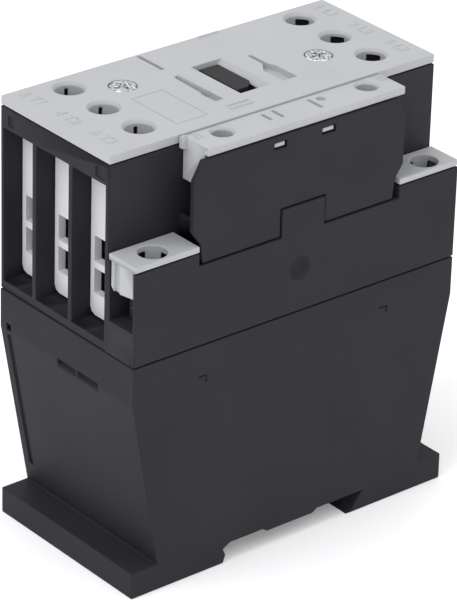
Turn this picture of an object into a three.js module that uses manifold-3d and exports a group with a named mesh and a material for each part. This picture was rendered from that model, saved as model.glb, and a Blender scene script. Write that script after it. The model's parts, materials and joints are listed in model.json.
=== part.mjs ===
// A three-pole contactor for a 35 mm rail, with a coil and auxiliary slice along one long side.
// Millimetres. +Z points out of the panel, z = 0 is the mounting face, X runs along the length
// between the two rows of main terminals, and the auxiliary slice is on the -Y side.
import * as THREE from 'three';
import { mergeVertices } from 'three/addons/utils/BufferGeometryUtils.js';
import Module from 'manifold-3d';

const wasm = await Module();
wasm.setup();

// ---------- driving dimensions ----------
const LENGTH = 85;            // foot plate along X
const WIDTH = 45;             // whole device along Y
const HEIGHT = 97.4;          // mounting face to front face
const SEAM_Z = 54;            // split between lower and upper housing
const SLICE_WIDTH = 8.9;      // coil and auxiliary slice, along Y
const FRONT_SHIFT = 1.5;      // the indicator window and case screws sit this far to +X
const TERMINAL_SHIFT = 1.3;   // and the main terminals this far
const POLE_SHIFT = 0.5;       // the partitions sit this far to +Y in their block
const POLE_CLEAR = [0.3, 0.72, 0.18]; // each pole's clamps from the +Y wall of its bay
const GAP = 0.3;              // between pieces that touch
const SLIDE = 0.3;            // round a sliding piece
const WALL = 2;               // lower housing end walls
const SIDE_WALL = 1.2;        // lower housing long walls
const PARTITION = 0.9;        // walls between the poles
const STROKE = 5;             // travel of the armature and the contact carrier
const CONTACT_GAP = 3.6;      // open contacts
const ROUND = 24;             // sides of a visible round hole
const SMALL_ROUND = 14;       // sides of a small round part

// foot and rail slot
const FOOT_THICKNESS = 6;
const RAIL_WIDTH = 35;
const SLOT_DEPTH = 4.4;
const HOOK_GRIP = 1.8;        // how far the fixed hook reaches under the rail
const RAIL_LIP = 1;           // rail metal thickness
const FLOOR_Z = 8;
const WAIST_DROP = 9;         // below the seam the lower housing stops widening
const WAIST_INSET = 6.85;     // how far its ends are drawn in at the foot
const EYE = { inset: 3.7, width: 1.6, groove: 0.5 }; // small eye and groove by the +Y corners
const BODY_OVERHANG = 0.4;    // the lower housing past the foot plate, at the seam

// rail clip
const CLIP = { width: 12, thick: 2, bottom: 1.1, length: 16, grip: 1.5 };
const CLIP_SPRING = { length: 5.4, radius: 0.75, wire: 0.22, turns: 5 };

// magnet and coil
const CORE = { half: 19.5, depth: 8, yoke: 7, centre: 6, outer: 6 };
const ARMATURE = { yoke: 6.7, legs: 7 };
const PAD_THICKNESS = 1.5;
const BOBBIN = { wall: 1, flange: 1.2, half: 13.2, reach: 16, proud: 1.4 };
const RETURN_SPRING = { y: 12.6, radius: 2, wire: 0.35, turns: 5 };
const CARRIER_BASE = { half: 12, thick: 3 };
const CARRIER_HALF = 4.5;     // contact carrier tower along X
const TOWER_DROP = 6.4;       // its shoulder below the front face

// upper housing
const HOUSING_END = 0.2;      // housing past the foot plate
const UPPER_FLOOR = 2;
const UPPER_ROOF = 2;
const BAY_DEPTH = 4.7;
const BAY_STEP = 0.4;         // the bays' -Y edges stand this far in
const BAY_BOTTOM = 1.8;       // above the seam
const BAY_TOP = 6.9;          // below the front face
const SHROUD = { thick: 2, bottom: 2.6, bar: 2.2, side: 0.15, corner: 1.6 };
const ENTRY = { width: 8, inset: 1.3, low: 7.6, height: 5.7, bridge: 1.5 };

// main terminals and contacts
const TERMINAL_INSET = 11.85; // from the foot plate's end, about the shifted centre
const STRIP = { thick: 1.5, width: 5.6, drop: 2.8, inner: 7.5 };
const PAD = { x: 11.5, half: 1.8, thick: 1 };
const CLAMP = { half: 3.4, wall: 1.1, clear: 0.2 };
const TERMINAL_SCREW = { head: 3, headThick: 2.6, shank: 1.6 };
const CASE_SCREW = { clear: 1, offset: 0.35, head: 3, share: 0.66, end: 10 };
const BRIDGE = { half: 13.5, thick: 1.5, spring: 8.2 };
const CONTACT_SPRING = { radius: 2, wire: 0.32, turns: 4 };

// front cover
const COVER = 1.9;
const FUNNEL = { top: 3.65, bore: 3.05, cone: 0.8, tube: 4, wall: 0.9, slitTop: 1.5 };
const SLIT = { t: { width: 0.8, turn: 65 }, l: { width: 3, turn: 38 } };
const WINDOW = { half: 4.15, low: -10.15, high: 5.95, slope: 1.6 };
const RIB = { rise: 0.4, at: [[-9.3, -3.6, -8.9, -8.3], [-9.3, -3.6, -10.5, -9.9], [-8.1, -7.8, -0.6, 8.9]] };
const EDGE_RIB = { x: [7.8, 13.2], inset: [1, 0.6] };
const LABEL = { x: [-22.6, -14.6], y: [-9.5, 5.5], line: 0.2, deep: 0.15 };
const SLOT = {
  floor: 0.4,
  short: { x: [-8.5, -7.6], start: 13.4, inset: 0.6 },
  left: [[-9, 8.9], [-9, -0.6], [-9.4, -0.6], [-9.4, -5.2],
    [-7.2, -5.2], [-7.2, -0.6], [-8.1, -0.6], [-8.1, 8.9]],
  right: [[10.5, 8.7], [10.5, 3.7], [8.4, 0.8], [8.3, -5.4],
    [12.2, -5.4], [12.2, 1], [11.4, 3.7], [11.4, 8.7]],
};

// coil terminals at the ends of the slice
const COIL_TOP = 21.1;        // above the seam
const COIL_POCKET = 7.5;      // above the seam
const COIL_BLOCK = { length: 16.3, plate: 1.3, leg: 1.3, legDrop: 6.9 };
const COIL_TONGUE = { drop: 3, half: 1.6, thick: 0.8, turn: [48, 64] };
const COIL_HOLE = { inset: 6.4, shift: 0.5, y: 3.9, bore: 3.1 };
const COIL_SCREW = { head: 2.5, headThick: 2, shank: 1.3, sunk: 2.3 };
const COIL_CLAMP = { half: 3.2, side: 2.9, wall: 0.9, low: 1, height: 8 };
const COIL_STRIP = { rise: 4.5, thick: 0.8, half: 1.5 };
const SLICE_WALL = 0.7;
const DIMPLE = { z: 9.8, rim: 2.85, depth: 1.35, boss: 3.7, bossDepth: 1.9 };

// auxiliary contact module
const AUX = { left: 1.6, right: 0.9, rise: 18.3, drop: 2.4, wall: 1.2, set: 0.3, body: 4, farBody: 3.6 };
const AUX_NOTCH = { left: -5.4, right: 6.5, rise: 6.3 };
const AUX_CAP = { inset: 2.1, drop: 0.4, band: 2.7, leg: 9.3, mark: 0.8 };
const CAP_BARS = [[-5.7, -4.8, -1.4, 1.8], [-2.8, -1.9, -1.7, 2.1], [6.5, 7.4, -2.7, 1.9]];
const CAP_DOT = { x: 9.4, y: 0.6, radius: 1 };
const AUX_TERMINAL = { centre: 2.15, inset: 7.55, depth: 5.7 };
const AUX_STRIP = { rise: 6.1, thick: 0.8, width: 3.4, inner: 6 };
const AUX_CLAMP = { half: 2.6, side: 2.3, wall: 0.3 };
const AUX_ARM = { half: 3.5, rim: 1, spring: 4.9 };
const AUX_SCREW = { head: 1.9, headThick: 1.8, shank: 1.2, recess: 2.75, cone: 0.7, sunk: 4.5 };
const AUX_SPRING = { radius: 1.1, wire: 0.25, turns: 4 };

// ---------- places worked out from the sizes ----------
const half = LENGTH / 2;
const side = WIDTH / 2;
const endX = half + HOUSING_END;
const sliceY = -side + SLICE_WIDTH;
const blockY = (side + sliceY) / 2 + POLE_SHIFT;
const pitch = (side - sliceY) / 3;
const partitionY = [blockY + pitch / 2, blockY - pitch / 2];
const bays = [
  [partitionY[0] + PARTITION / 2, side - PARTITION],
  [partitionY[1] + PARTITION / 2, partitionY[0] - PARTITION / 2],
  [sliceY + PARTITION, partitionY[1] - PARTITION / 2],
];
const clampSide = STRIP.width / 2 + CLAMP.clear + CLAMP.wall;
const poleY = bays.map(([, y1], i) => y1 - POLE_CLEAR[i] - clampSide);
const midPoleY = [(poleY[0] + poleY[1]) / 2, (poleY[1] + poleY[2]) / 2];
const coverZ = HEIGHT - COVER;
const roofZ = coverZ - GAP;
const bayTopZ = HEIGHT - BAY_TOP;
const shroudX = endX - BAY_DEPTH;
const innerX = shroudX - SHROUD.thick - GAP;
const upperFloorZ = SEAM_Z + UPPER_FLOOR;
const terminalX = { t: TERMINAL_SHIFT - (half - TERMINAL_INSET), l: TERMINAL_SHIFT + half - TERMINAL_INSET };
const stripZ = SEAM_Z + ENTRY.low + ENTRY.height;
const stripLowZ = stripZ - STRIP.drop;
const padTopZ = stripLowZ + STRIP.thick + PAD.thick;
const bridgeZ = padTopZ + CONTACT_GAP + PAD.thick;
const windowTopZ = bridgeZ + BRIDGE.thick + BRIDGE.spring + GAP;
const screwTopZ = coverZ - FUNNEL.tube - GAP;
const padZ = FLOOR_Z + GAP;
const coreZ = padZ + PAD_THICKNESS + GAP;
const carrierZ = SEAM_Z - 2 * GAP - CARRIER_BASE.thick;
const armatureTopZ = carrierZ - GAP;
const armatureZ = armatureTopZ - ARMATURE.legs - ARMATURE.yoke;
const coreTopZ = armatureZ - STROKE - GAP;
const towerTopZ = HEIGHT - TOWER_DROP;
const bobbinZ = coreZ + CORE.yoke + GAP;
const bobbinTopZ = coreTopZ + GAP + BOBBIN.proud;
const waistZ = SEAM_Z - WAIST_DROP;
const coilTopZ = SEAM_Z + COIL_TOP;
const coilPocketZ = SEAM_Z + COIL_POCKET;
const coilLegZ = coilTopZ - COIL_BLOCK.legDrop;
const coilInnerX = endX + 0.2 - COIL_BLOCK.length;
const auxX = [-coilInnerX - AUX.left, coilInnerX + AUX.right];
const auxZ = [SEAM_Z + AUX.rise, HEIGHT - AUX.drop];
const auxStripZ = auxZ[0] + AUX_STRIP.rise;
const auxY = -side + AUX_TERMINAL.depth;
const auxPadTopZ = auxStripZ + AUX_STRIP.thick + 0.6;
const auxBridgeZ = auxPadTopZ + CONTACT_GAP + 0.6;
const auxBackY = sliceY - GAP;
const auxTerminalHalf = coilInnerX - AUX_TERMINAL.inset;
const auxTerminalX = [AUX_TERMINAL.centre - auxTerminalHalf, AUX_TERMINAL.centre + auxTerminalHalf];
const auxCapLeft = -coilInnerX + AUX_CAP.inset;
const caseBoss = (midPoleY[0] - midPoleY[1] - STRIP.width) / 2 - CASE_SCREW.offset - GAP;
const caseX = CORE.half + CASE_SCREW.clear + caseBoss - FRONT_SHIFT;
const caseShank = caseBoss * CASE_SCREW.share;
const caseEndZ = SEAM_Z - CASE_SCREW.end;
const capTopZ = HEIGHT - AUX_CAP.drop;
const auxNotchZ = auxZ[0] + AUX_NOTCH.rise;

// ---------- finishes ----------
const finish = (color, roughness, metalness = 0) =>
  () => new THREE.MeshStandardMaterial({ color, roughness, metalness });
const blackPlastic = finish(0x2e2c31, 0.5);
const greyPlastic = finish(0xc5c7c9, 0.55);
const shroudPlastic = finish(0xb9bcbf, 0.55);
const carrierPlastic = finish(0x26252a, 0.5);
const steel = finish(0xb8bcc0, 0.3, 0.9);
const springSteel = finish(0x9a9ca0, 0.35, 0.9);
const copper = finish(0xb87333, 0.35, 0.9);
const laminations = finish(0x6d7074, 0.5, 0.8);
const windingTape = finish(0xc07a2c, 0.6);
const rubber = finish(0x1c1c1e, 0.9);

// ---------- shape helpers ----------
function solid(geometry) {
  geometry.deleteAttribute('normal');
  geometry.deleteAttribute('uv');
  const merged = mergeVertices(geometry, 1e-4);
  const mesh = new wasm.Mesh({
    numProp: 3,
    vertProperties: new Float32Array(merged.attributes.position.array),
    triVerts: new Uint32Array(merged.index.array),
  });
  return new wasm.Manifold(mesh);
}

function box([x0, x1], [y0, y1], [z0, z1]) {
  const geometry = new THREE.BoxGeometry(x1 - x0, y1 - y0, z1 - z0);
  geometry.translate((x0 + x1) / 2, (y0 + y1) / 2, (z0 + z1) / 2);
  return solid(geometry);
}

function outline(points) {
  return new THREE.Shape(points.map(([u, v]) => new THREE.Vector2(u, v)));
}

function prism(points, from, to, matrix) {
  const geometry = new THREE.ExtrudeGeometry(outline(points), { depth: to - from, bevelEnabled: false });
  geometry.translate(0, 0, from);
  geometry.applyMatrix4(matrix);
  return solid(geometry);
}

// An (x, z) outline run along Y, a (y, z) outline run along X, and an (x, y) outline run along Z.
const zxToY = new THREE.Matrix4().set(1, 0, 0, 0, 0, 0, -1, 0, 0, 1, 0, 0, 0, 0, 0, 1);
const yzToX = new THREE.Matrix4().set(0, 0, 1, 0, 1, 0, 0, 0, 0, 1, 0, 0, 0, 0, 0, 1);
const alongY = (points, [y0, y1]) => prism(points, -y1, -y0, zxToY);
const alongX = (points, [x0, x1]) => prism(points, x0, x1, yzToX);
const alongZ = (points, [z0, z1]) => prism(points, z0, z1, new THREE.Matrix4());

function turned(profile, x, y, sides) {
  const points = profile.map(([r, z]) => new THREE.Vector2(r, z));
  const geometry = new THREE.LatheGeometry(points, sides);
  geometry.rotateX(Math.PI / 2);
  geometry.translate(x, y, 0);
  return solid(geometry);
}

const rod = (radius, [z0, z1], x, y, sides = ROUND) =>
  turned([[0, z0], [radius, z0], [radius, z1], [0, z1]], x, y, sides);

class Helix extends THREE.Curve {
  constructor(radius, from, to, turns) {
    super();
    Object.assign(this, { radius, from, to, turns });
  }
  getPoint(t, target = new THREE.Vector3()) {
    const angle = t * this.turns * Math.PI * 2;
    const z = this.from + (this.to - this.from) * t;
    return target.set(this.radius * Math.cos(angle), this.radius * Math.sin(angle), z);
  }
}

function coilSpring({ radius, wire, turns }, [z0, z1]) {
  const section = new THREE.Shape();
  section.setFromPoints(new THREE.EllipseCurve(0, 0, wire, wire).getPoints(5).slice(0, 5));
  const path = new Helix(radius, z0 + wire, z1 - wire, turns);
  const options = { steps: Math.round(turns * 10), extrudePath: path, bevelEnabled: false };
  return solid(new THREE.ExtrudeGeometry(section, options));
}

const joined = (...solids) => solids.reduce((sum, next) => sum.add(next));
const cut = (body, ...tools) => tools.reduce((rest, tool) => rest.subtract(tool), body);
const mirrored = (points) => points.map(([x, z]) => [-x, z]).reverse();

const part = new THREE.Group();

function add(name, shape, material) {
  const mesh = shape.getMesh();
  const geometry = new THREE.BufferGeometry();
  geometry.setAttribute('position', new THREE.BufferAttribute(new Float32Array(mesh.vertProperties), 3));
  geometry.setIndex(new THREE.BufferAttribute(new Uint32Array(mesh.triVerts), 1));
  const node = new THREE.Mesh(geometry, material());
  node.name = name;
  part.add(node);
  return node;
}

const screwPlaces = [
  [FRONT_SHIFT - caseX, midPoleY[0] + CASE_SCREW.offset],
  [FRONT_SHIFT + caseX, midPoleY[1] + CASE_SCREW.offset],
];

// ---------- lower housing: foot plate, rail slot and magnet chamber ----------
const clipEndX = -RAIL_WIDTH / 2 + CLIP.grip;
const clipBackX = clipEndX - CLIP.length;
const clipTunnelX = clipBackX - CLIP_SPRING.length - 2 * GAP;

function railSlot() {
  const edge = RAIL_WIDTH / 2;
  const rest = SLOT_DEPTH - RAIL_LIP;
  return alongY([
    [-edge - 0.6, -1], [-edge - 0.6, 0], [-edge, rest - 1.5], [-edge - 0.7, rest],
    [-edge + 1.1, SLOT_DEPTH], [-7.5, SLOT_DEPTH], [-6.3, rest + 0.2], [6.3, rest + 0.2],
    [7.5, SLOT_DEPTH], [edge + 2.6, SLOT_DEPTH], [edge, 0.6], [edge - HOOK_GRIP, 0], [edge - HOOK_GRIP, -1],
  ], [-side - 1, side + 1]);
}

function lowerBody() {
  const foot = half - WAIST_INSET;
  const top = half + BODY_OVERHANG;
  const shell = [[-foot, FOOT_THICKNESS - 1], [foot, FOOT_THICKNESS - 1], [top, waistZ],
    [top, SEAM_Z - GAP], [-top, SEAM_Z - GAP], [-top, waistZ]];
  return alongY(shell, [-side, side]);
}

function magnetChamber() {
  const low = half - WAIST_INSET - WALL;
  const top = half + BODY_OVERHANG - WALL;
  const room = [[-low, FLOOR_Z], [low, FLOOR_Z], [top, waistZ], [top, SEAM_Z + 1],
    [-top, SEAM_Z + 1], [-top, waistZ]];
  return alongY(room, [-side + SIDE_WALL, side - SIDE_WALL]);
}

function latchWindows() {
  const outer = half + BODY_OVERHANG + 1;
  const inner = half + BODY_OVERHANG - 1.2;
  const depth = [[inner, waistZ + 0.6], [outer, waistZ + 0.6], [outer, waistZ - 2.2], [inner, waistZ - 0.6]];
  const spans = [[-3.3, 2.8], [-10.7, -3.9]];
  return spans.flatMap((span) => [alongY(depth, span), alongY(mirrored(depth), span)]);
}

function bothEnds([x0, x1], y, z) {
  return [box([-x1, -x0], y, z), box([x0, x1], y, z)];
}

// Each eye runs in through the end wall and out through the +Y wall.
function cornerEyes() {
  const outer = half + BODY_OVERHANG + 1;
  const y0 = side - EYE.inset;
  const mouths = bothEnds([outer - 3, outer], [y0, y0 + EYE.width], [waistZ - 0.2, waistZ + 1.6]);
  const rooms = bothEnds([outer - 4.6, outer - 2.6], [y0, side + 1], [waistZ - 2.6, waistZ + 1.6]);
  return [...mouths, ...rooms];
}

function endGrooves() {
  const foot = half - WAIST_INSET;
  const top = half + BODY_OVERHANG;
  const at = (z) => foot + (top - foot) * (z - FOOT_THICKNESS + 1) / (waistZ - FOOT_THICKNESS + 1);
  const z = [FOOT_THICKNESS + 5, waistZ - 1];
  const groove = [[at(z[0]) - EYE.groove, z[0]], [at(z[0]) + 1, z[0]],
    [at(z[1]) + 1, z[1]], [at(z[1]) - EYE.groove, z[1]]];
  const span = [side - EYE.inset, side - EYE.inset + EYE.width];
  return [alongY(groove, span), alongY(mirrored(groove), span)];
}

function sideNicks() {
  const y = [-side - 1, -side + 0.35];
  return [[-25, waistZ + 1.7], [23.6, waistZ + 2.6]].flatMap(([x, z]) => [
    box([x - 1.1, x + 1.1], y, [z - 0.2, z + 0.2]),
    box([x + 0.7, x + 1.1], y, [z - 1.6, z]),
  ]);
}

function lowerHousing() {
  const plate = box([-half, half], [-side, side], [0, FOOT_THICKNESS]);
  const tunnel = box([clipTunnelX, -RAIL_WIDTH / 2 + 1],
    [-CLIP.width / 2 - SLIDE, CLIP.width / 2 + SLIDE],
    [CLIP.bottom - SLIDE, CLIP.bottom + CLIP.thick + SLIDE]);
  const bosses = screwPlaces.map(([x, y]) => rod(caseBoss, [FLOOR_Z - 1, SEAM_Z - GAP], x, y, SMALL_ROUND));
  const bores = screwPlaces.map(([x, y]) =>
    rod(caseShank + GAP, [caseEndZ - 1, SEAM_Z + 1], x, y, SMALL_ROUND));
  const shell = cut(joined(plate, lowerBody()), railSlot(), tunnel, magnetChamber(), ...latchWindows(),
    ...cornerEyes(), ...endGrooves(), ...sideNicks());
  return cut(joined(shell, ...bosses), ...bores);
}

add('lower_housing', lowerHousing(), blackPlastic);

// ---------- rail clip and its spring ----------
const clipY = [-CLIP.width / 2, CLIP.width / 2];
const clipZ = [CLIP.bottom, CLIP.bottom + CLIP.thick];
const clipNose = [[clipBackX, clipZ[0]], [clipEndX - 1.2, clipZ[0]], [clipEndX, clipZ[0] + 1.2],
  [clipEndX, clipZ[1]], [clipBackX, clipZ[1]]];
add('rail_clip', alongY(clipNose, clipY), steel);

function clipSpring() {
  const spring = coilSpring(CLIP_SPRING, [0, CLIP_SPRING.length]);
  return spring.rotate([0, 90, 0]).translate([clipTunnelX + GAP, 0, (clipZ[0] + clipZ[1]) / 2]);
}
add('rail_clip_spring', clipSpring(), springSteel);

// ---------- magnet, coil and return springs ----------
function eCore(yokeZ, legZ) {
  const y = [-CORE.depth, CORE.depth];
  const innerLeg = CORE.half - CORE.outer;
  return joined(
    box([-CORE.half, CORE.half], y, yokeZ),
    box([-CORE.half, -innerLeg], y, legZ),
    box([innerLeg, CORE.half], y, legZ),
    box([-CORE.centre, CORE.centre], y, legZ),
  );
}

add('damping_pad', box([-15, 15], [-6, 6], [padZ, padZ + PAD_THICKNESS]), rubber);
add('fixed_core', eCore([coreZ, coreZ + CORE.yoke], [coreZ, coreTopZ]), laminations);
add('armature', eCore([armatureZ + ARMATURE.legs, armatureTopZ], [armatureZ, armatureTopZ]), laminations);

function rectangle(x, y, z) {
  return box([-x, x], [-y, y], z);
}

const boreX = CORE.centre + SLIDE;
const boreY = CORE.depth + SLIDE;
const tubeX = boreX + BOBBIN.wall;
const tubeY = boreY + BOBBIN.wall;

function bobbin() {
  const low = rectangle(BOBBIN.half, BOBBIN.reach, [bobbinZ, bobbinZ + BOBBIN.flange]);
  const high = rectangle(BOBBIN.half, BOBBIN.reach, [bobbinTopZ - BOBBIN.flange, bobbinTopZ]);
  const tube = rectangle(tubeX, tubeY, [bobbinZ, bobbinTopZ]);
  return cut(joined(low, high, tube), rectangle(boreX, boreY, [bobbinZ - 1, bobbinTopZ + 1]));
}

function winding() {
  const z = [bobbinZ + BOBBIN.flange + GAP, bobbinTopZ - BOBBIN.flange - GAP];
  const ring = rectangle(BOBBIN.half - 0.6, BOBBIN.reach - 0.6, z);
  return cut(ring, rectangle(tubeX + GAP, tubeY + GAP, [z[0] - 1, z[1] + 1]));
}

add('coil_bobbin', bobbin(), blackPlastic);
add('coil_winding', winding(), windingTape);
[-1, 1].forEach((way, i) => {
  const spring = coilSpring(RETURN_SPRING, [bobbinTopZ + GAP, carrierZ - GAP]);
  add(`return_spring_${i + 1}`, spring.translate([0, way * RETURN_SPRING.y, 0]), springSteel);
});

// ---------- contact carrier ----------
const towerY = [bays[2][0] + SLIDE, side - SIDE_WALL - SLIDE];
const windowHalf = STRIP.width / 2 + SLIDE;
const auxWindowHalf = AUX_STRIP.width / 2 + SLIDE;
const auxWindow = [auxBridgeZ - GAP, auxBridgeZ + AUX_STRIP.thick + AUX_ARM.spring + GAP];
const armZ = [auxWindow[0] - AUX_ARM.rim, auxWindow[1] + AUX_ARM.rim];
const headX = [FRONT_SHIFT - WINDOW.half + 1.1, FRONT_SHIFT + WINDOW.half - 2];
const headY = [blockY + WINDOW.low + 2.6, blockY + WINDOW.high - 1];
const headCorner = 2.2;
const headTopZ = HEIGHT - 0.6;

function contactCarrier() {
  const base = box([-CARRIER_BASE.half, CARRIER_BASE.half], [-CORE.depth - 7.6, towerY[1]],
    [carrierZ, carrierZ + CARRIER_BASE.thick]);
  const tower = box([-CARRIER_HALF, CARRIER_HALF], towerY, [carrierZ + 1, towerTopZ]);
  const arm = box([-AUX_ARM.half, AUX_ARM.half], [auxY - auxWindowHalf - AUX_ARM.rim, towerY[0] + 1], armZ);
  const windows = poleY.map((y) =>
    box([-9, 9], [y - windowHalf, y + windowHalf], [bridgeZ - GAP, windowTopZ]));
  const auxHole = box([-9, 9], [auxY - auxWindowHalf, auxY + auxWindowHalf], auxWindow);
  const head = alongZ([[headX[0], headY[0]], [headX[1] - headCorner, headY[0]],
    [headX[1], headY[0] + headCorner], [headX[1], headY[1]], [headX[0], headY[1]]], [towerTopZ - 1, headTopZ]);
  return joined(cut(joined(base, tower, arm), ...windows, auxHole), head);
}

add('contact_carrier', contactCarrier(), carrierPlastic);

// ---------- main contacts, one set for each pole ----------
const poleNames = ['1', '2', '3'];

function contactBridge(y, z, length, width, thick, padX, padHalf, padThick) {
  const bar = box([-length, length], [y - width / 2, y + width / 2], [z, z + thick]);
  const pads = [-padX, padX].map((x) =>
    box([x - padHalf, x + padHalf], [y - width / 2 + 0.5, y + width / 2 - 0.5],
      [z - padThick, z + 0.1]));
  return joined(bar, ...pads);
}

function fixedContact(end, y) {
  const sign = end === 't' ? -1 : 1;
  const outer = innerX - GAP;
  const step = caseX + 1;
  const top = stripZ + STRIP.thick;
  const lowTop = stripLowZ + STRIP.thick;
  const strip = [[STRIP.inner, stripLowZ], [step - 2, stripLowZ], [step, stripZ], [outer, stripZ],
    [outer, top], [step - 0.6, top], [step - 2.6, lowTop], [STRIP.inner, lowTop]];
  const width = [y - STRIP.width / 2, y + STRIP.width / 2];
  const pad = [[PAD.x - PAD.half, lowTop - 0.1], [PAD.x + PAD.half, lowTop - 0.1],
    [PAD.x + PAD.half, padTopZ], [PAD.x - PAD.half, padTopZ]];
  const side = (points) => (sign > 0 ? points : mirrored(points));
  return joined(alongY(side(strip), width), alongY(side(pad), [width[0] + 0.5, width[1] - 0.5]));
}

function crossRecess(x, y, top, reach, width, depth) {
  return joined(
    box([x - reach, x + reach], [y - width / 2, y + width / 2], [top - depth, top + 1]),
    box([x - width / 2, x + width / 2], [y - reach, y + reach], [top - depth, top + 1]),
  );
}

function screw(x, y, { head, headThick, shank }, top, bottom) {
  const chamfer = 0.3;
  const profile = [[0, bottom], [shank, bottom], [shank, top - headThick], [head, top - headThick],
    [head, top - chamfer], [head - chamfer, top], [0, top]];
  const body = turned(profile, x, y, SMALL_ROUND + 4);
  return cut(body, crossRecess(x, y, top, head * 0.62, head * 0.26, headThick * 0.5));
}

function cage(x, y, [z0, z1], reach, width, wall, shank) {
  const outer = box([x - reach, x + reach], [y - width, y + width], [z0, z1]);
  const clear = width - wall;
  const way = box([x - reach - 1, x + reach + 1], [y - clear, y + clear], [z0 + wall, z1 - wall]);
  return cut(outer, way, rod(shank + GAP, [z1 - wall - 1, z1 + 1], x, y, SMALL_ROUND));
}

const cageZ = [stripZ - ENTRY.height - CLAMP.wall, stripZ + STRIP.thick + ENTRY.height + CLAMP.wall];
poleNames.forEach((pole, i) => {
  const y = poleY[i];
  for (const end of ['t', 'l']) {
    add(`fixed_contact_${end}${pole}`, fixedContact(end, y), copper);
    add(`terminal_clamp_${end}${pole}`,
      cage(terminalX[end], y, cageZ, CLAMP.half, clampSide, CLAMP.wall, TERMINAL_SCREW.shank), steel);
    const tip = stripZ + STRIP.thick + GAP;
    add(`terminal_screw_${end}${pole}`, screw(terminalX[end], y, TERMINAL_SCREW, screwTopZ, tip), steel);
  }
  const { half: reach, thick } = BRIDGE;
  const bridge = contactBridge(y, bridgeZ, reach, STRIP.width, thick, PAD.x, PAD.half, PAD.thick);
  add(`contact_bridge_${pole}`, bridge, copper);
  const spring = coilSpring(CONTACT_SPRING, [bridgeZ + BRIDGE.thick + GAP, windowTopZ - GAP]);
  add(`contact_spring_${pole}`, spring.translate([0, y, 0]), springSteel);
});

// ---------- terminal shrouds: grey plates with the wire entries, in the end bays ----------
const entryZ = [
  [SEAM_Z + ENTRY.low, stripZ - 0.05],
  [stripZ + ENTRY.bridge, stripZ + ENTRY.bridge + ENTRY.height],
];

function shroud(sign) {
  const outer = [shroudX - SHROUD.thick, shroudX];
  const span = (a, b) => (sign > 0 ? [a, b] : [-b, -a]);
  const z = [SEAM_Z + SHROUD.bottom, bayTopZ - GAP];
  const { side: clear, corner } = SHROUD;
  const plates = bays.map(([y0, y1]) => {
    const y = [y0 + BAY_STEP + clear, y1 - clear];
    return alongX([[y[0], z[0]], [y[1] - corner, z[0]], [y[1] - corner * 0.3, z[0] + corner * 0.3],
      [y[1], z[0] + corner], [y[1], z[1]], [y[0], z[1]]], span(...outer));
  });
  const bar = box(span(outer[0], outer[0] + 1.1), [bays[2][0] + GAP, bays[0][1] - GAP],
    [bayTopZ - GAP - SHROUD.bar, bayTopZ - GAP]);
  const entries = bays.flatMap(([, y1]) => entryZ.map((z) =>
    box(span(outer[0] - 1, outer[1] + 1), [y1 - ENTRY.inset - ENTRY.width, y1 - ENTRY.inset], z)));
  return cut(joined(bar, ...plates), ...entries);
}

add('terminal_shroud_t', shroud(-1), shroudPlastic);
add('terminal_shroud_l', shroud(1), shroudPlastic);

// ---------- upper housing: three pole chambers and the slice beside them ----------
const sliceTopZ = auxZ[0] - GAP;
const coilShelfZ = coilTopZ - GAP;
const sliceInY = [-side + SLICE_WALL, sliceY - SLICE_WALL];
const pocketX = coilInnerX + 2.5;
const coilScrewX = [-1, 1].map((way) => way * (half - COIL_HOLE.inset) + COIL_HOLE.shift);
const coilY = -side + COIL_HOLE.y;
const coilStripZ = coilPocketZ + COIL_STRIP.rise;

function sideBoth(a, b) {
  return [[-b, -a], [a, b]];
}

function upperShell() {
  const block = box([-endX, endX], [sliceY, side], [SEAM_Z, roofZ]);
  const slice = box([-endX - 0.2, endX + 0.2], [-side, sliceY + 0.5], [SEAM_Z, sliceTopZ]);
  const shelves = sideBoth(coilInnerX, endX + 0.2).map((x) =>
    box(x, [-side, sliceY + 0.5], [SEAM_Z, coilShelfZ]));
  const tab = box([AUX_NOTCH.left + GAP, AUX_NOTCH.right - GAP], [-side, -side + AUX.wall + AUX.set],
    [sliceTopZ - 1, auxNotchZ - GAP]);
  return joined(block, slice, ...shelves, tab);
}

function poleChambers() {
  const chambers = bays.map((y) => box([-innerX, innerX], y, [upperFloorZ, roofZ - UPPER_ROOF]));
  const openings = bays.flatMap(([y0, y1]) => sideBoth(innerX - 1, endX + 1).map((x) =>
    box(x, [y0 + BAY_STEP, y1], [SEAM_Z + BAY_BOTTOM, bayTopZ])));
  const barWay = sideBoth(innerX, shroudX + GAP).map((x) =>
    box(x, [bays[2][0], bays[0][1]], [bayTopZ - 2 * GAP - SHROUD.bar, bayTopZ]));
  return [...chambers, ...openings, ...barWay];
}

function carrierWay() {
  const reach = CARRIER_HALF + SLIDE;
  const tower = box([-reach, reach], [bays[2][0], bays[0][1]], [SEAM_Z - 1, roofZ - UPPER_ROOF]);
  const arm = box([-AUX_ARM.half - SLIDE, AUX_ARM.half + SLIDE], [sliceY - 1, bays[2][0] + 1],
    [armZ[0] - STROKE - GAP, armZ[1] + GAP]);
  const head = box([headX[0] - GAP, headX[1] + GAP], [headY[0] - GAP, headY[1] + GAP],
    [roofZ - UPPER_ROOF - 1, roofZ + 1]);
  return [tower, arm, head];
}

function sliceRooms() {
  const middle = box([-coilInnerX, coilInnerX], sliceInY, [SEAM_Z - 1, sliceTopZ - 1.5]);
  const ends = sideBoth(coilInnerX - 0.1, pocketX - 0.8).map((x) =>
    box(x, sliceInY, [SEAM_Z - 1, sliceTopZ - 1.5]));
  const pockets = sideBoth(pocketX, endX + 1).map((x) => box(x, sliceInY, [coilPocketZ, coilShelfZ + 1]));
  const ways = sideBoth(pocketX - 1, pocketX + 1).map((x) =>
    box(x, [coilY - 2.3, coilY + 2.3], [coilStripZ - GAP, coilStripZ + COIL_STRIP.thick + GAP]));
  return [middle, ...ends, ...pockets, ...ways];
}

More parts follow.
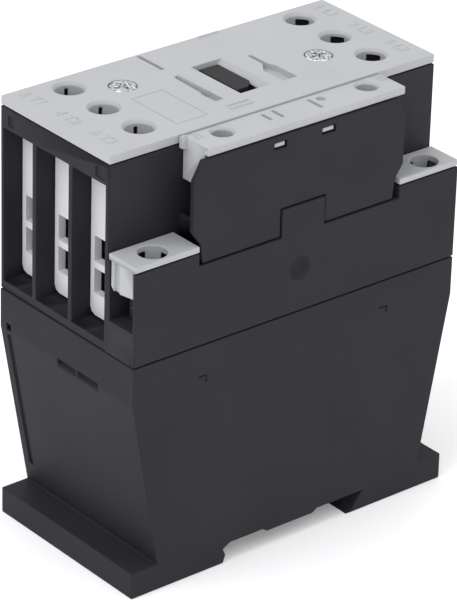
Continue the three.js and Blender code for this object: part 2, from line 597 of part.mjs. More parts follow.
// A blind bowl in the slice's face, with a boss behind the thin wall.
const onSliceFace = (shape) => shape.rotate([90, 0, 0]).translate([0, -side, SEAM_Z + DIMPLE.z]);

function dimple() {
  const { rim, depth } = DIMPLE;
  return onSliceFace(turned([[0, -depth], [rim * 0.35, -depth * 0.93], [rim * 0.67, -depth * 0.67],
    [rim - 0.25, -0.25], [rim, 0], [rim, 1], [0, 1]], 0, 0, ROUND));
}

function dimpleBoss() {
  return onSliceFace(rod(DIMPLE.boss, [-DIMPLE.bossDepth, 0.1 - SLICE_WALL], 0, 0));
}

function upperHousing() {
  const shell = cut(upperShell(), ...poleChambers(), ...carrierWay(), ...sliceRooms());
  const bosses = screwPlaces.map(([x, y]) => rod(caseBoss, [upperFloorZ - 1, roofZ - 1], x, y, SMALL_ROUND));
  const bores = screwPlaces.map(([x, y]) => rod(caseShank + GAP, [SEAM_Z - 1, roofZ + 1], x, y, SMALL_ROUND));
  const funnels = poleY.flatMap((y) => ['t', 'l'].map((end) =>
    rod(FUNNEL.bore + FUNNEL.wall + GAP, [coverZ - FUNNEL.tube - GAP, roofZ + 1], terminalX[end], y)));
  const nicks = [[-12, -9], [side - 4.5, side - 2.5]].flatMap((y) =>
    bothEnds([endX - 0.4, endX + 1], y, [bayTopZ + 0.9, bayTopZ + 3.2]));
  return cut(joined(shell, dimpleBoss(), ...bosses), ...bores, ...funnels, dimple(), ...nicks);
}

add('upper_housing', upperHousing(), blackPlastic);

// ---------- coil terminals ----------
function coilBlock(sign) {
  const outer = endX + 0.2;
  const span = (a, b) => (sign > 0 ? [a, b] : [-b, -a]);
  const screwX = coilScrewX[sign > 0 ? 1 : 0];
  const plate = box(span(coilInnerX, outer), [-side, sliceY - GAP], [coilTopZ, coilTopZ + COIL_BLOCK.plate]);
  const legY = [sliceInY[0] + GAP, sliceInY[1] - GAP];
  const legOutline = [[legY[0], coilLegZ + 0.8], [legY[1] - 1, coilLegZ],
    [legY[1], coilLegZ + 1], [legY[1], coilTopZ + 0.1], [legY[0], coilTopZ + 0.1]];
  const leg = alongX(legOutline, span(outer - 0.2 - COIL_BLOCK.leg, outer - 0.2));
  const groove = box(span(outer - 0.9, outer), [legY[1] - 2.7, legY[1] - 0.8],
    [coilLegZ - 1, coilTopZ - 0.2]);
  const tongueZ = [coilTopZ - COIL_TONGUE.drop, coilTopZ + 0.1];
  const reach = COIL_HOLE.bore + COIL_TONGUE.thick;
  const tongue = box([0, reach + 1], [-COIL_TONGUE.half, COIL_TONGUE.half], tongueZ)
    .intersect(rod(reach, tongueZ, 0, 0))
    .rotate([0, 0, COIL_TONGUE.turn[sign > 0 ? 1 : 0]])
    .translate([screwX, coilY, 0])
    .intersect(box([screwX - reach, screwX + reach], [coilY, sliceInY[1] - GAP], tongueZ));
  const bore = rod(COIL_HOLE.bore, [tongueZ[0] - 1, coilTopZ + 3], screwX, coilY);
  return cut(joined(plate, leg, tongue), groove, bore);
}

function coilContact(i) {
  const sign = i === 0 ? -1 : 1;
  const far = Math.abs(coilScrewX[i]) + COIL_CLAMP.half;
  const down = pocketX - 2.6;
  const z = coilStripZ;
  const t = COIL_STRIP.thick;
  const foot = bobbinTopZ - t;
  const points = [[down, foot], [down, z], [far, z], [far, z + t], [down - t, z + t], [down - t, foot + t],
    [BOBBIN.half, foot + t], [BOBBIN.half, foot]];
  return alongY(sign > 0 ? points : mirrored(points), [coilY - COIL_STRIP.half, coilY + COIL_STRIP.half]);
}

['1', '2'].forEach((name, i) => {
  const x = coilScrewX[i];
  const z = [coilPocketZ + GAP, coilPocketZ + GAP + COIL_CLAMP.height];
  const headTop = coilTopZ - COIL_SCREW.sunk;
  add(`coil_terminal_block_${name}`, coilBlock(i === 0 ? -1 : 1), greyPlastic);
  add(`coil_clamp_${name}`,
    cage(x, coilY, z, COIL_CLAMP.half, COIL_CLAMP.side, COIL_CLAMP.wall, COIL_SCREW.shank), steel);
  add(`coil_screw_${name}`, screw(x, coilY, COIL_SCREW, headTop, coilStripZ + COIL_STRIP.thick + GAP), steel);
  add(`coil_contact_${name}`, coilContact(i), copper);
});

// ---------- auxiliary contact module ----------
const auxOutline = [[auxX[0] + 2.6, auxZ[0]], [auxX[0] + 2, auxZ[0] + 4.5], [auxX[0], auxZ[0] + 7.4],
  [auxX[0], auxZ[1] - 4], [auxX[0] + 2.3, auxZ[1]], [auxX[1] - 2.3, auxZ[1]], [auxX[1], auxZ[1] - 4],
  [auxX[1], auxZ[0] + 7.4], [auxX[1] - 2, auxZ[0] + 4.5], [auxX[1] - 2.6, auxZ[0]]].reverse();
const auxFaceY = -side + AUX.set;
const auxInnerY = auxFaceY + AUX.wall;
const auxRoomX = [auxX[0] + AUX.body, auxX[1] - AUX.farBody];
const catchX = [[-7.7, -4.3], [4.9, 8.6]];
const catchZ = [auxZ[1] - 2.8, auxZ[1] - 1.2];

// A thin front plate stands past a narrower tray behind it.
function auxCover() {
  const plate = alongY(auxOutline, [auxFaceY, auxInnerY]);
  const tray = box([auxRoomX[0] - AUX.wall, auxRoomX[1] + AUX.wall], [auxInnerY - 0.1, auxBackY], auxZ);
  const room = box(auxRoomX, [auxInnerY, auxBackY + 1], [auxZ[0] + AUX.wall, auxZ[1] + 1]);
  const entries = box([auxX[0] - 1, auxX[1] + 1], [auxInnerY, auxBackY + 1], [auxZ[0] + 7.8, auxZ[1] + 1]);
  const notch = box([AUX_NOTCH.left, AUX_NOTCH.right], [-side - 1, auxInnerY + GAP],
    [auxZ[0] - 1, auxNotchZ]);
  const catches = catchX.map((x) => box(x, [auxFaceY - 1, auxInnerY + 1], catchZ));
  return cut(joined(plate, tray), room, entries, notch, ...catches);
}

// Blind slots and a round mark in the cap's top, placed from the line of the auxiliary screws.
function capMarks() {
  const z = [capTopZ - AUX_CAP.mark, capTopZ + 1];
  const bars = CAP_BARS.map(([x0, x1, y0, y1]) => box([x0, x1], [auxY + y0, auxY + y1], z));
  return [...bars, rod(CAP_DOT.radius, z, CAP_DOT.x, auxY + CAP_DOT.y, SMALL_ROUND)];
}

function auxCap() {
  const z = [capTopZ - AUX_CAP.band, capTopZ];
  const legZ = [capTopZ - AUX_CAP.leg, capTopZ - 1];
  const inY = auxInnerY + GAP;
  const plate = box([auxCapLeft, auxX[1] - 0.1], [auxFaceY + 0.4, auxBackY], [auxZ[1] + GAP, capTopZ]);
  const plug = box([auxCapLeft, auxRoomX[1] - GAP], [inY, auxBackY], [z[0] - 0.6, capTopZ - 1]);
  const leg = box([auxCapLeft, auxCapLeft + 1.2], [inY, auxBackY], legZ);
  const farLeg = box([auxRoomX[1] - GAP - 1.2, auxRoomX[1] - GAP], [inY, auxBackY], legZ);
  const hook = box([auxCapLeft - 1.1, auxCapLeft + 0.1], [auxBackY - 1.2, auxBackY],
    [capTopZ - 2.3, capTopZ + 0.3]);
  const latches = catchX.flatMap(([x0, x1]) => [
    box([x0 + 0.4, x1 - 0.4], [inY, inY + 1.4], [catchZ[0] + 0.1, z[0]]),
    box([x0 + 0.4, x1 - 0.4], [auxFaceY + 0.35, inY + 0.1], [catchZ[0] + 0.4, catchZ[1] - 0.3]),
  ]);
  const holes = auxTerminalX.map((x) => turned([[0, legZ[0] - 1], [AUX_SCREW.head + GAP, legZ[0] - 1],
    [AUX_SCREW.head + GAP, capTopZ - AUX_SCREW.cone], [AUX_SCREW.recess, capTopZ],
    [AUX_SCREW.recess, capTopZ + 1], [0, capTopZ + 1]], x, auxY, ROUND));
  const armWay = box([-AUX_ARM.half - SLIDE, AUX_ARM.half + SLIDE], [auxY - 2.6, auxBackY + 1],
    [z[0] - 2, armZ[1] + GAP]);
  return cut(joined(plate, plug, leg, farLeg, hook, ...latches), ...holes, ...capMarks(), armWay);
}

function auxContact(i) {
  const sign = i === 0 ? -1 : 1;
  const outer = Math.abs(auxTerminalX[i]) + 2.2;
  const width = [auxY - AUX_STRIP.width / 2, auxY + AUX_STRIP.width / 2];
  const strip = [[AUX_STRIP.inner, auxStripZ], [outer, auxStripZ], [outer, auxStripZ + AUX_STRIP.thick],
    [AUX_STRIP.inner, auxStripZ + AUX_STRIP.thick]];
  const pad = [[6.4, auxPadTopZ - 0.7], [8.4, auxPadTopZ - 0.7], [8.4, auxPadTopZ], [6.4, auxPadTopZ]];
  const place = (points) => (sign > 0 ? points : mirrored(points));
  return joined(alongY(place(strip), width), alongY(place(pad), [width[0] + 0.5, width[1] - 0.5]));
}

add('aux_cover', auxCover(), blackPlastic);
add('aux_cap', auxCap(), greyPlastic);
['1', '2'].forEach((name, i) => {
  const x = auxTerminalX[i];
  const clampZ = [auxStripZ - 3.2, auxStripZ + AUX_STRIP.thick + 4.2];
  add(`aux_contact_${name}`, auxContact(i), copper);
  add(`aux_clamp_${name}`,
    cage(x, auxY, clampZ, AUX_CLAMP.half, AUX_CLAMP.side, AUX_CLAMP.wall, AUX_SCREW.shank), steel);
  const tip = auxStripZ + AUX_STRIP.thick + GAP;
  add(`aux_screw_${name}`, screw(x, auxY, AUX_SCREW, capTopZ - AUX_SCREW.sunk, tip), steel);
});
add('aux_bridge', contactBridge(auxY, auxBridgeZ, 9, AUX_STRIP.width, AUX_STRIP.thick, 7.4, 1, 0.6), copper);
const auxSpring = coilSpring(AUX_SPRING, [auxBridgeZ + AUX_STRIP.thick + GAP, auxWindow[1] - GAP]);
add('aux_spring', auxSpring.translate([0, auxY, 0]), springSteel);

// ---------- front cover and case screws ----------
const floorZ = coverZ + SLOT.floor;

function window() {
  const top = HEIGHT + 1;
  const x0 = FRONT_SHIFT - WINDOW.half;
  const x1 = FRONT_SHIFT + WINDOW.half;
  const foot = x1 - WINDOW.slope;
  const recess = alongY([[x0, floorZ], [foot, floorZ], [x1, HEIGHT], [x1, top], [x0, top]],
    [blockY + WINDOW.low, blockY + WINDOW.high]);
  const through = box([x0, foot], [headY[0] - GAP, headY[1] + GAP], [coverZ - 1, top]);
  return joined(recess, through);
}

// Blind slots that a front-mounted block hooks into, each thin at its +Y end and wide at the other.
function frontSlots() {
  const z = [floorZ, HEIGHT + 1];
  return [
    box(SLOT.short.x, [SLOT.short.start, side - SLOT.short.inset], z),
    alongZ(SLOT.left, z),
    alongZ(SLOT.right, z),
  ];
}

// A shallow engraved frame where a label goes.
function labelFrame() {
  const { x, y, line } = LABEL;
  const z = [HEIGHT - LABEL.deep, HEIGHT + 1];
  const inner = box([x[0] + line, x[1] - line], [y[0] + line, y[1] - line], [z[0] - 1, z[1] + 1]);
  return cut(box(x, y, z), inner);
}

function funnelSlit(end, x, y) {
  const { width, turn } = SLIT[end];
  const reach = FUNNEL.bore + FUNNEL.wall + 0.2;
  const slit = box([FUNNEL.bore - 0.6, reach], [-width / 2, width / 2],
    [coverZ - FUNNEL.tube - 1, HEIGHT - FUNNEL.slitTop]);
  return slit.rotate([0, 0, turn]).translate([x, y, 0]);
}

function frontCover() {
  const plate = box([-endX, endX], [sliceY, side], [coverZ, HEIGHT]);
  const sites = poleY.flatMap((y) => ['t', 'l'].map((end) => [end, terminalX[end], y]));
  const tubeZ = [coverZ - FUNNEL.tube, coverZ + 0.1];
  const tubes = sites.map(([, x, y]) => rod(FUNNEL.bore + FUNNEL.wall, tubeZ, x, y));
  const bores = sites.map(([, x, y]) => turned([[0, tubeZ[0] - 1], [FUNNEL.bore, tubeZ[0] - 1],
    [FUNNEL.bore, HEIGHT - FUNNEL.cone], [FUNNEL.top, HEIGHT], [FUNNEL.top, HEIGHT + 1], [0, HEIGHT + 1]],
  x, y, ROUND));
  const slits = sites.map((site) => funnelSlit(...site));
  const screwHoles = screwPlaces.map(([x, y]) => joined(
    rod(caseShank + GAP, [coverZ - 1, HEIGHT], x, y, SMALL_ROUND),
    rod(CASE_SCREW.head + 0.1, [coverZ + 0.6, HEIGHT + 1], x, y),
  ));
  const edgeRib = [...EDGE_RIB.x, side - EDGE_RIB.inset[0], side - EDGE_RIB.inset[1]];
  const ribs = [...RIB.at, edgeRib].map(([x0, x1, y0, y1]) =>
    box([x0, x1], [y0, y1], [HEIGHT - 0.1, HEIGHT + RIB.rise]));
  const body = joined(plate, ...tubes, ...ribs);
  return cut(body, ...bores, ...slits, ...screwHoles, window(), ...frontSlots(), labelFrame());
}

add('front_cover', frontCover(), greyPlastic);
screwPlaces.forEach(([x, y], i) => {
  const size = { head: CASE_SCREW.head, headThick: HEIGHT - 0.1 - coverZ - 0.6 - GAP, shank: caseShank };
  add(`case_screw_${i + 1}`, screw(x, y, size, HEIGHT - 0.1, caseEndZ), steel);
});

export default part;
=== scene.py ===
# %% [markdown]
# # A rail-mounted contactor, dressed for a close look
#
# The solids come from the imported model, called the frame. This script gives every piece its finish, rounds the
# edges that show, puts in a smooth copy of each spring, adds the raised markings, and sets up the table, the
# lights and the camera. Everything is in metres, in the frame's own axes.

# %% Load the frame
import json
import math

import bmesh
import bpy
from mathutils import Matrix, Vector
from mathutils.kdtree import KDTree


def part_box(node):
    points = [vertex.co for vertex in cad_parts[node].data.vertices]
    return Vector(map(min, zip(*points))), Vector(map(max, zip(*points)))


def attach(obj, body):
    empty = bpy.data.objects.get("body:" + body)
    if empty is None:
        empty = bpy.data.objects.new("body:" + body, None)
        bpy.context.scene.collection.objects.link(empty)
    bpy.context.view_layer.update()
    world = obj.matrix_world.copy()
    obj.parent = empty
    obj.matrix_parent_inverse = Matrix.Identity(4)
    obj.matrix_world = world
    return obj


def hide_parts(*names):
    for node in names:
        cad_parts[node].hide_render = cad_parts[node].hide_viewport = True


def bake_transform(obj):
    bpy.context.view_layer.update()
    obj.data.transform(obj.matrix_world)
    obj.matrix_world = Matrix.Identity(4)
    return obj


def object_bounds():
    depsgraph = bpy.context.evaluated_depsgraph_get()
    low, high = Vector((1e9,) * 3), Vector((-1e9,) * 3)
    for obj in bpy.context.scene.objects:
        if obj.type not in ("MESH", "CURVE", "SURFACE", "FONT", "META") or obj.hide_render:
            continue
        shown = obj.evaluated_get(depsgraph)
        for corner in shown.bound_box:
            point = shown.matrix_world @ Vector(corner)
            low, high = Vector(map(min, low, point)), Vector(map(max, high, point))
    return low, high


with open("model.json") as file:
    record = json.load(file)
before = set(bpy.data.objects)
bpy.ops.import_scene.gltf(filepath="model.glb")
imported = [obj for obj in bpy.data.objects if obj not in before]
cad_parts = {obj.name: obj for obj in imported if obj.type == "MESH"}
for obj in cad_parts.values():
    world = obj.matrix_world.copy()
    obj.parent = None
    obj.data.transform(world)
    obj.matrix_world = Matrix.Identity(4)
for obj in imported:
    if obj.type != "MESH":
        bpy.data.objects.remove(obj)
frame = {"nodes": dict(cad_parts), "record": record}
cad_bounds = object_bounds()
scene = bpy.context.scene
print("nodes in the frame:", len(frame["nodes"]))

MM = 0.001


# %% [markdown]
# ## Where things are
#
# A node's object sits at the origin with its place in its mesh, so its box says where it is. The front face is
# read from the cover's box once, and the record says which body and which material slot each node has.

# %% Places read from the frame
def corners(node):
    low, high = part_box(node)
    return Vector(low), Vector(high)


cover_low, cover_high = corners("front_cover")
RIB_HEIGHT = 0.4 * MM      # the ribs stand above the cover, so they set the top of its box
front_z = cover_high.z - RIB_HEIGHT
body_of = {node: body for body, nodes in frame["record"]["behaviour"]["bodies"].items() for node in nodes}
slot_of = {row["node"]: row["material_slot"] for row in frame["record"]["subparts"]}
print("front face at", round(front_z / MM, 2), "mm; bodies:", sorted(set(body_of.values())))


# %% [markdown]
# ## Camera
#
# The part is seen from its left front corner, a little over 27 degrees above the table, through a long lens
# so that its edges stay nearly parallel. A small roll and a very small shift set the framing.

# %% Camera
AZIMUTH = math.radians(-39.97)
ELEVATION = math.radians(27.12)
ROLL = math.radians(1.68)
DISTANCE = 0.8222
LENS = 234.65
SENSOR = 36
SHIFT = (0.0002, -0.0081)
AIM_DROP = 0.65 * MM       # the lens looks this far below the part's middle


def add_camera():
    back = Vector((math.sin(AZIMUTH) * math.cos(ELEVATION), -math.cos(AZIMUTH) * math.cos(ELEVATION),
                   math.sin(ELEVATION)))
    right = (-back).cross(Vector((0, 0, 1))).normalized()
    up = back.cross(right)
    rolled_right = right * math.cos(ROLL) + up * math.sin(ROLL)
    rolled_up = up * math.cos(ROLL) - right * math.sin(ROLL)
    middle = Vector((0, 0, (cad_bounds[0][2] + cad_bounds[1][2]) / 2 - AIM_DROP))
    lens = bpy.data.cameras.new("camera")
    lens.lens = LENS
    lens.sensor_width = SENSOR
    lens.shift_x, lens.shift_y = SHIFT
    lens.clip_end = 20
    camera = bpy.data.objects.new("camera", lens)
    turn = Matrix((rolled_right, rolled_up, back)).transposed().to_4x4()
    camera.matrix_world = Matrix.Translation(middle + back * DISTANCE) @ turn
    scene.collection.objects.link(camera)
    scene.camera = camera
    return camera


camera = add_camera()
print("camera", [round(v, 4) for v in camera.location])


# %% [markdown]
# ## Table and lights
#
# The part stands in a white tent: a pale table, an even white sky and two large soft lamps. The sky alone
# would make black plastic look flat, so one lamp is over the front edge and the other is high on the left.

# %% Table
TABLE_REACH = 3.0
TABLE_GAP = 0.02 * MM      # keeps the table's face clear of the foot's face


def add_table():
    shape = bmesh.new()
    bmesh.ops.create_grid(shape, x_segments=1, y_segments=1, size=TABLE_REACH)
    mesh = bpy.data.meshes.new("table")
    shape.to_mesh(mesh)
    shape.free()
    table = bpy.data.objects.new("table", mesh)
    table.location.z = cad_bounds[0][2] - TABLE_GAP
    scene.collection.objects.link(table)
    return table


table = add_table()
print("table is", table.dimensions.x, "m wide")


# %% Sky and lamps
def add_sky(strength):
    world = bpy.data.worlds.new("sky")
    world.use_nodes = True
    background = world.node_tree.nodes["Background"]
    background.inputs["Color"].default_value = (1, 1, 1, 1)
    background.inputs["Strength"].default_value = strength
    scene.world = world


def add_lamp(name, place, aim, size, power, colour=(1, 1, 1)):
    data = bpy.data.lights.new(name, "AREA")
    data.shape = "RECTANGLE"
    data.size, data.size_y = size
    data.energy = power
    data.color = colour
    lamp = bpy.data.objects.new(name, data)
    lamp.location = place
    lamp.rotation_euler = (Vector(aim) - Vector(place)).to_track_quat("-Z", "Y").to_euler()
    scene.collection.objects.link(lamp)
    return lamp


middle = (0, 0, front_z / 2)
add_sky(0.92)
add_lamp("lamp_over_front", (0.15, -0.5, 0.75), middle, (0.7, 0.5), 0.9)
add_lamp("lamp_left", (-0.5, -0.02, 0.85), middle, (0.5, 0.6), 3.4, (0.93, 0.94, 1))
scene.view_settings.view_transform = "Standard"


# %% [markdown]
# ## Finishes
#
# Every finish is a small node tree on Object coordinates, so it sits still on the piece from every side. The
# helpers below make the tree, a noise, a colour ramp and a bump, because each finish is a variation on those.

# %% Node helpers
def new_material(name):
    material = bpy.data.materials.new(name)
    material.use_nodes = True
    tree = material.node_tree
    shader = tree.nodes["Principled BSDF"]
    place = tree.nodes.new("ShaderNodeTexCoord")
    return material, tree, shader, place.outputs["Object"]


def noise(tree, place, feature, detail=2.0, stretch=(1, 1, 1)):
    mapping = tree.nodes.new("ShaderNodeMapping")
    mapping.inputs["Scale"].default_value = stretch
    tree.links.new(place, mapping.inputs["Vector"])
    node = tree.nodes.new("ShaderNodeTexNoise")
    node.inputs["Scale"].default_value = 1 / feature
    node.inputs["Detail"].default_value = detail
    tree.links.new(mapping.outputs["Vector"], node.inputs["Vector"])
    return node.outputs["Fac"]


def ramp(tree, value, low, high, start=0.35, end=0.65):
    node = tree.nodes.new("ShaderNodeValToRGB")
    node.color_ramp.elements[0].position = start
    node.color_ramp.elements[1].position = end
    node.color_ramp.elements[0].color = (*low, 1)
    node.color_ramp.elements[1].color = (*high, 1)
    tree.links.new(value, node.inputs["Fac"])
    return node.outputs["Color"]


def spread(tree, value, low, high):
    node = tree.nodes.new("ShaderNodeMapRange")
    node.inputs["From Min"].default_value = 0.3
    node.inputs["From Max"].default_value = 0.7
    node.inputs["To Min"].default_value = low
    node.inputs["To Max"].default_value = high
    tree.links.new(value, node.inputs["Value"])
    return node.outputs["Result"]


def bump(tree, height, depth, under=None):
    node = tree.nodes.new("ShaderNodeBump")
    node.inputs["Strength"].default_value = 1.0
    node.inputs["Distance"].default_value = depth
    tree.links.new(height, node.inputs["Height"])
    if under is not None:
        tree.links.new(under, node.inputs["Normal"])
    return node.outputs["Normal"]


def shade(colour, factor):
    return tuple(channel * factor for channel in colour)


# %% [markdown]
# ### Moulded plastic
#
# The housings are moulded in steel tools whose faces were spark-eroded, which leaves a fine even grain. The
# grain is a bump about a fifth of a millimetre across, and the gloss varies with it. The colour drifts by a few
# per cent over a centimetre or so, and a very shallow wave keeps the flat faces from looking machined.

# %% Moulded plastic
def moulded(name, colour, rough, grain=0.22 * MM, depth=0.012 * MM, drift=0.06, shine=0.5):
    material, tree, shader, place = new_material(name)
    cloud = noise(tree, place, 14 * MM, 3)
    speck = noise(tree, place, grain, 2)
    wave = noise(tree, place, 9 * MM, 1)
    tint = ramp(tree, cloud, shade(colour, 1 - drift), shade(colour, 1 + drift))
    tree.links.new(tint, shader.inputs["Base Color"])
    tree.links.new(spread(tree, speck, rough - 0.06, rough + 0.08), shader.inputs["Roughness"])
    soft = bump(tree, wave, 0.03 * MM)
    tree.links.new(bump(tree, speck, depth, soft), shader.inputs["Normal"])
    shader.inputs["Specular IOR Level"].default_value = shine
    return material


finishes = {
    "black_housing": moulded("black_moulding", (0.0245, 0.0225, 0.028), 0.58, shine=0.12),
    "inner_black": moulded("black_satin_moulding", (0.007, 0.0065, 0.008), 0.42, shine=0.22),
    "grey_cover": moulded("grey_moulding", (0.412, 0.42, 0.43), 0.55, drift=0.02),
    # painted light: the shroud grey is much lighter than the cover's grey, to lift the shroud out of the shade
    # in the terminal bays
    "shroud_grey": moulded("shroud_moulding_painted_light", (0.7, 0.71, 0.73), 0.5, drift=0.02),
}
print("plastic finishes:", sorted(finishes))


# %% [markdown]
# ### Metals, winding and rubber
#
# The screws and clamps are bright zinc, so they are smooth with faint streaks from tumbling. The two case
# screws have painted reflections: their heads are speckled light and dark in the colour, standing in for a
# bright and dark surround. The contact strips are bare copper with darker stains. The core is a stack of thin
# sheets, which shows as fine bands along Y, and the winding shows its turns as bands up its height.

# %% Metals
STREAK = (1, 1, 6)         # six times finer up the piece than across it
WAVE_SCALE = 0.314         # the scale at which a wave texture's bands are one metre apart


def metal(name, colour, rough, feature=1.2 * MM, stain_and_reflection_size=3 * MM, stain_and_reflection_darkening=0.72):
    material, tree, shader, place = new_material(name)
    shader.inputs["Metallic"].default_value = 1.0
    lines = noise(tree, place, feature, 4, STREAK)
    # real stains on most metals; on the case screws the same patches are painted reflections
    stains_and_painted_reflections = noise(tree, place, stain_and_reflection_size, 2)
    tree.links.new(ramp(tree, stains_and_painted_reflections, shade(colour, stain_and_reflection_darkening), colour), shader.inputs["Base Color"])
    tree.links.new(spread(tree, lines, rough - 0.08, rough + 0.1), shader.inputs["Roughness"])
    tree.links.new(bump(tree, lines, 0.006 * MM), shader.inputs["Normal"])
    return material


def banded(name, low, high, rough, metallic, axis, pitch):
    material, tree, shader, place = new_material(name)
    shader.inputs["Metallic"].default_value = metallic
    wave = tree.nodes.new("ShaderNodeTexWave")
    wave.bands_direction = axis
    wave.inputs["Scale"].default_value = WAVE_SCALE / pitch
    wave.inputs["Distortion"].default_value = 0.3
    tree.links.new(place, wave.inputs["Vector"])
    tree.links.new(ramp(tree, wave.outputs["Fac"], low, high, 0.1, 0.6), shader.inputs["Base Color"])
    gloss = spread(tree, noise(tree, place, 2 * MM), rough - 0.07, rough + 0.07)
    tree.links.new(gloss, shader.inputs["Roughness"])
    tree.links.new(bump(tree, wave.outputs["Fac"], 0.08 * MM), shader.inputs["Normal"])
    return material


finishes["zinc_steel"] = metal("bright_zinc", (0.6, 0.61, 0.63), 0.3)
# painted reflections: fine light and dark flecks in the case screws' colour stand in for a bright and dark
# surround
finishes["zinc_painted_reflections"] = metal("zinc_painted_reflections", (0.95, 0.97, 0.98), 0.24, feature=0.5 * MM,
                                 stain_and_reflection_size=0.55 * MM, stain_and_reflection_darkening=0.16)
finishes["spring_steel"] = metal("spring_wire", (0.5, 0.5, 0.52), 0.32)
finishes["contact_copper"] = metal("contact_strip", (0.78, 0.45, 0.3), 0.3)
finishes["core_iron"] = banded("core_sheets", (0.12, 0.12, 0.125), (0.4, 0.4, 0.42), 0.4, 0.9, "Y", 0.5 * MM)
finishes["winding"] = banded("wound_wire", (0.2, 0.07, 0.02), (0.72, 0.32, 0.1), 0.35, 0.6, "Z", 0.3 * MM)
finishes["rubber_pad"] = moulded("pad_rubber", (0.012, 0.012, 0.013), 0.8, grain=0.5 * MM)
print("finishes:", len(finishes))


# %% [markdown]
# ### Table
#
# The table is matt and nearly white. It glows faintly, as the lit floor of a light tent does, so the shadow
# round the foot stays pale.

# %% Table finish
TABLE_GLOW = 0.16


def table_finish():
    material, tree, shader, place = new_material("pale_table")
    shader.inputs["Roughness"].default_value = 0.9
    shader.inputs["Specular IOR Level"].default_value = 0.1
    cloud = noise(tree, place, 0.4, 2)
    tree.links.new(ramp(tree, cloud, (0.93, 0.93, 0.93), (0.95, 0.95, 0.95)), shader.inputs["Base Color"])
    shader.inputs["Emission Color"].default_value = (1, 1, 1, 1)
    shader.inputs["Emission Strength"].default_value = TABLE_GLOW
    return material


table.data.materials.append(table_finish())
print("table finish:", table.data.materials[0].name)


# %% Give every node its finish
for name, node in frame["nodes"].items():
    node.data.materials.clear()
    node.data.materials.append(finishes[slot_of[name]])
print("nodes finished:", len(frame["nodes"]))


# %% [markdown]
# ## Softened edges
#
# A moulded or stamped edge is never razor sharp: it has a radius of a few tenths, and that radius is what
# catches the light. A copy of each visible node is merged, its flat faces are joined up, and its sharp edges
# are bevelled. Two edges closer together than both bevels need would run into each other, so those stay sharp.
# The copy then stands for the node. Weighted normals keep the flat faces flat.

# %% Soften a node's edges
MERGE = 0.002 * MM         # points closer than this are one point
FLAT = math.radians(0.4)   # faces that meet at less than this are one face
CROWDED = 2.1              # sharp edges closer than this many bevels stay sharp


def sharp_edges(shape, angle):
    return [edge for edge in shape.edges if len(edge.link_faces) == 2 and edge.calc_face_angle(0) > angle]


def uncrowded(edges, room):
    points = []
    for number, edge in enumerate(edges):
        start, end = (vert.co for vert in edge.verts)
        steps = max(1, math.ceil(edge.calc_length() / (0.7 * room)))
        points += [(start.lerp(end, step / steps), number) for step in range(steps + 1)]
    tree = KDTree(len(points))
    for index, (point, number) in enumerate(points):
        tree.insert(point, index)
    tree.balance()
    crowded = set()
    for point, number in points:
        ends = set(edges[number].verts)
        for found, index, gap in tree.find_range(point, room):
            other = points[index][1]
            if other != number and not ends & set(edges[other].verts):
                crowded.update((number, other))
    return [edge for number, edge in enumerate(edges) if number not in crowded]


def merged_copy(node):
    shape = bmesh.new()
    shape.from_mesh(frame["nodes"][node].data)
    bmesh.ops.remove_doubles(shape, verts=shape.verts[:], dist=MERGE)
    return shape


def smooth_piece(name, shape, finish):
    for face in shape.faces:
        face.smooth = True
        face.material_index = 0
    mesh = bpy.data.meshes.new(name)
    shape.to_mesh(mesh)
    shape.free()
    mesh.materials.append(finish)
    piece = bpy.data.objects.new(name, mesh)
    scene.collection.objects.link(piece)
    return piece


def softened(node, radius, limit, finish):
    shape = merged_copy(node)
    bmesh.ops.dissolve_limit(shape, angle_limit=FLAT, verts=shape.verts[:], edges=shape.edges[:])
    edges = uncrowded(sharp_edges(shape, math.radians(limit)), CROWDED * radius)
    bmesh.ops.bevel(shape, geom=edges, offset=radius, segments=2, profile=0.5, affect="EDGES",
                    material=-1, clamp_overlap=False)
    piece = smooth_piece(node + "_soft", shape, finish)
    piece.modifiers.new("even_normals", "WEIGHTED_NORMAL").keep_sharp = True
    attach(piece, body_of[node])
    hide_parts(node)
    return piece


soft = {}
for node, radius, limit in [
    ("lower_housing", 0.25, 8), ("upper_housing", 0.18, 30), ("aux_cover", 0.2, 14),
    ("front_cover", 0.18, 35), ("aux_cap", 0.15, 35), ("coil_terminal_block_1", 0.18, 35),
    ("coil_terminal_block_2", 0.18, 35), ("terminal_shroud_t", 0.12, 35), ("terminal_shroud_l", 0.12, 35),
    ("contact_carrier", 0.15, 35), ("case_screw_1", 0.06, 35), ("case_screw_2", 0.06, 35),
]:
    # the case screws take the zinc whose colour holds painted reflections
    finish = finishes["zinc_painted_reflections" if node.startswith("case_screw") else slot_of[node]]
    soft[node] = softened(node, radius * MM, limit, finish)
print("softened:", {name: len(piece.data.polygons) for name, piece in soft.items()})


# %% [markdown]
# ## Springs
#
# Each spring is caught between two pieces whose distance changes, so it has to give as the mechanism moves.
# Scaling it at every pose would need a script that runs with the pose. Here each spring is a smooth copy of its
# wire, which keeps its shape and is not tied to either body. The span from a little before the wire to a little
# after it is worked out but not used.

# %% Springs
BLEND_OVERRUN = 0.15


def springy(node, axis=2):
    piece = smooth_piece(node + "_sprung", merged_copy(node), finishes[slot_of[node]])
    low, high = corners(node)
    start = (low + high) / 2
    end = start.copy()
    overrun = BLEND_OVERRUN * (high[axis] - low[axis])
    start[axis] = low[axis] - overrun
    end[axis] = high[axis] + overrun
    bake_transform(piece)
    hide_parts(node)
    return piece


springs = [springy(f"return_spring_{number}") for number in (1, 2)]
springs += [springy(f"contact_spring_{pole}") for pole in (1, 2, 3)]
springs.append(springy("aux_spring"))
springs.append(springy("rail_clip_spring", axis=0))
print("springs:", [piece.name for piece in springs])


# %% [markdown]
# ## Raised markings
#
# The terminals are numbered in raised letters on the grey cover and cap, as on any switch of this kind. Each
# marking is a solid letter shape that stands a tenth of a millimetre proud and sinks as far into the cover.
# All of them read from the same end, which is the one at -X.

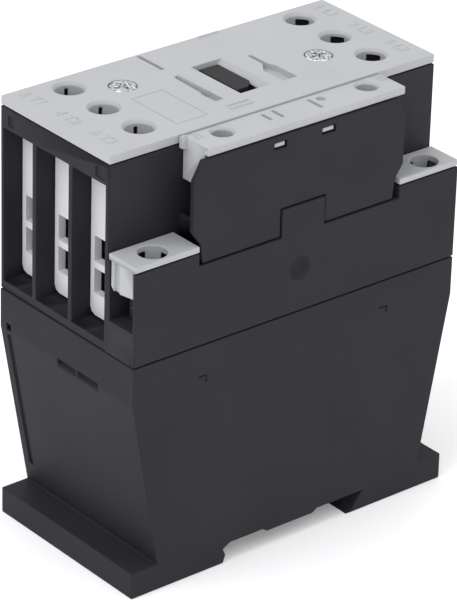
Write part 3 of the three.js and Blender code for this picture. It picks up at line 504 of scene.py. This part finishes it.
# %% Raised letters
PROUD = 0.12 * MM
LETTER_MERGE = 0.001 * MM
READ_FROM_END = math.radians(-90)
TERMINAL_LETTER = 3.7 * MM
COIL_LETTER = 2.6 * MM
TERMINAL_INSETS = (4.4 * MM, 3.6 * MM)     # from the cover's ends at -X and +X
COIL_INSETS = (3.1 * MM, 1.5 * MM)         # from the cap's ends at -X and +X
CAP_MARGIN = 1.7 * MM                      # from the cap's edge at +Y
HOOK_RISE = 0.3 * MM       # the cap's hook stands above its top by this


def raised(name, words, centre, top, size, host):
    curve = bpy.data.curves.new(name, "FONT")
    curve.body = words
    curve.size = size
    curve.extrude = PROUD
    curve.align_x = "CENTER"
    curve.align_y = "CENTER"
    curve.resolution_u = 3
    draft = bpy.data.objects.new(name + "_draft", curve)
    scene.collection.objects.link(draft)
    drawn = bpy.data.meshes.new_from_object(draft.evaluated_get(bpy.context.evaluated_depsgraph_get()))
    shape = bmesh.new()
    shape.from_mesh(drawn)
    bpy.data.objects.remove(draft)
    bpy.data.meshes.remove(drawn)
    bmesh.ops.remove_doubles(shape, verts=shape.verts[:], dist=LETTER_MERGE)
    shape.transform(Matrix.Translation((centre[0], centre[1], top)) @ Matrix.Rotation(READ_FROM_END, 4, "Z"))
    mesh = bpy.data.meshes.new(name)
    shape.to_mesh(mesh)
    shape.free()
    mesh.materials.clear()
    mesh.materials.append(finishes[slot_of[host]])
    piece = bpy.data.objects.new(name, mesh)
    scene.collection.objects.link(piece)
    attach(piece, body_of[host])
    return piece


cap_low, cap_high = corners("aux_cap")
cap_top = cap_high.z - HOOK_RISE
marks = []
for pole, (load, line) in enumerate([("2 T1", "1 L1"), ("4 T2", "3 L2"), ("6 T3", "5 L3")], start=1):
    for end, words, x in (("t", load, cover_low.x + TERMINAL_INSETS[0]),
                          ("l", line, cover_high.x - TERMINAL_INSETS[1])):
        low, high = corners(f"terminal_screw_{end}{pole}")
        marks.append(raised(f"mark_{end}{pole}", words, (x, (low.y + high.y) / 2), front_z, TERMINAL_LETTER,
                            "front_cover"))
for name, words, x in (("1", "A2", cap_low.x + COIL_INSETS[0]), ("2", "A1", cap_high.x - COIL_INSETS[1])):
    marks.append(raised(f"mark_coil_{name}", words, (x, cap_high.y - CAP_MARGIN), cap_top, COIL_LETTER,
                        "aux_cap"))
print("markings:", len(marks))
